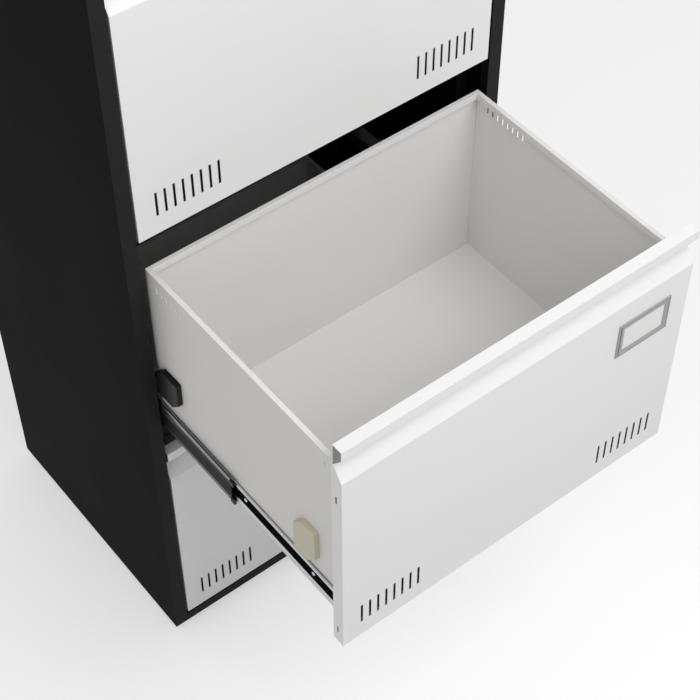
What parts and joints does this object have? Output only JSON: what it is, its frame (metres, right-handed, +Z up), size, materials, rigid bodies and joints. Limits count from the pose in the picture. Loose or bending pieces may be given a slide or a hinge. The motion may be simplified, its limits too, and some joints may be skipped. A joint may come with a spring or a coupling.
{
  "type": "lateral filing cabinet",
  "caption": "Steel filing cabinet, black carcass with pale full-extension drawers behind lip handles, one drawer drawn out on ball-bearing slides.",
  "frame": {"origin": "middle of the bounding box at floor level, with the middle drawer drawn out", "axes": "+Z up, drawers open towards -Y, +X to the right seen from the front"},
  "size_m": [0.62, 0.8684, 1.32],
  "materials": {
    "front_paint": "satin",
    "tray_paint": "satin",
    "carcass_paint": "satin",
    "grey_plastic": "matte",
    "card": "matte",
    "beige_plastic": "matte",
    "black_plastic": "matte",
    "zinc_steel": "satin",
    "lock_chrome": "polished"
  },
  "bodies": {
    "cabinet": {"bottom_rail": "carcass_paint", "cabinet_slide_members_left": "zinc_steel", "cabinet_slide_members_right": "zinc_steel", "carcass_back": "carcass_paint", "carcass_bottom": "carcass_paint", "carcass_side_left": "carcass_paint", "carcass_side_right": "carcass_paint", "carcass_top": "carcass_paint", "divider_rail_under_middle_drawer": "carcass_paint", "divider_rail_under_top_drawer": "carcass_paint", "header_rail": "carcass_paint", "levelling_glides": "black_plastic", "lock_bar_guides": "black_plastic", "lock_housing": "lock_chrome", "slide_screws": "zinc_steel", "slide_uprights_left": "carcass_paint", "slide_uprights_right": "carcass_paint"},
    "bottom_drawer": {"bottom_drawer_back": "tray_paint", "bottom_drawer_catch_block": "beige_plastic", "bottom_drawer_front": "front_paint", "bottom_drawer_rear_bracket": "black_plastic", "bottom_drawer_slide_member_left": "zinc_steel", "bottom_drawer_slide_member_right": "zinc_steel", "bottom_drawer_tray": "tray_paint", "bottom_front_liner": "tray_paint", "bottom_label_card": "card", "bottom_label_holder": "grey_plastic", "bottom_lip_caps": "grey_plastic"},
    "bottom_intermediates": {"bottom_slide_intermediate_left": "zinc_steel", "bottom_slide_intermediate_right": "zinc_steel"},
    "middle_drawer": {"middle_drawer_back": "tray_paint", "middle_drawer_catch_block": "beige_plastic", "middle_drawer_front": "front_paint", "middle_drawer_rear_bracket": "black_plastic", "middle_drawer_slide_member_left": "zinc_steel", "middle_drawer_slide_member_right": "zinc_steel", "middle_drawer_tray": "tray_paint", "middle_front_liner": "tray_paint", "middle_label_card": "card", "middle_label_holder": "grey_plastic", "middle_lip_caps": "grey_plastic"},
    "middle_intermediates": {"middle_slide_intermediate_left": "zinc_steel", "middle_slide_intermediate_right": "zinc_steel"},
    "top_drawer": {"top_drawer_back": "tray_paint", "top_drawer_catch_block": "beige_plastic", "top_drawer_front": "front_paint", "top_drawer_rear_bracket": "black_plastic", "top_drawer_slide_member_left": "zinc_steel", "top_drawer_slide_member_right": "zinc_steel", "top_drawer_tray": "tray_paint", "top_front_liner": "tray_paint", "top_label_card": "card", "top_label_holder": "grey_plastic", "top_lip_caps": "grey_plastic"},
    "top_intermediates": {"top_slide_intermediate_left": "zinc_steel", "top_slide_intermediate_right": "zinc_steel"},
    "lock_plug": {"lock_plug": "lock_chrome", "lock_cam": "zinc_steel"},
    "lock_bar": {"lock_bar": "zinc_steel"}
  },
  "joints": [
    {"name": "bottom_drawer_slide", "type": "slide", "parent": "cabinet", "child": "bottom_drawer", "axis": [0, -1, 0], "range_m": [0, 0.406]},
    {"name": "bottom_intermediate_slide", "type": "slide", "parent": "cabinet", "child": "bottom_intermediates", "axis": [0, -1, 0], "range_m": [0, 0.203]},
    {"name": "middle_drawer_slide", "type": "slide", "parent": "cabinet", "child": "middle_drawer", "axis": [0, 1, 0], "range_m": [0, 0.406]},
    {"name": "middle_intermediate_slide", "type": "slide", "parent": "cabinet", "child": "middle_intermediates", "axis": [0, 1, 0], "range_m": [0, 0.203]},
    {"name": "top_drawer_slide", "type": "slide", "parent": "cabinet", "child": "top_drawer", "axis": [0, -1, 0], "range_m": [0, 0.406]},
    {"name": "top_intermediate_slide", "type": "slide", "parent": "cabinet", "child": "top_intermediates", "axis": [0, -1, 0], "range_m": [0, 0.203]},
    {"name": "lock_plug_turn", "type": "hinge", "parent": "cabinet", "child": "lock_plug", "pos_m": [-0.262, -0.02575, 1.3034], "axis": [0, -1, 0], "range_deg": [0, 90]},
    {"name": "lock_bar_slide", "type": "slide", "parent": "cabinet", "child": "lock_bar", "axis": [0, 0, -1], "range_m": [0, 0.012]}
  ],
  "couplings": [
    {"joint": "bottom_intermediate_slide", "follows": "bottom_drawer_slide", "ratio": 0.5},
    {"joint": "middle_intermediate_slide", "follows": "middle_drawer_slide", "ratio": 0.5},
    {"joint": "top_intermediate_slide", "follows": "top_drawer_slide", "ratio": 0.5},
    {"joint": "lock_plug_turn", "follows": "lock_bar_slide", "rad_per_m": 130.89}
  ]
}
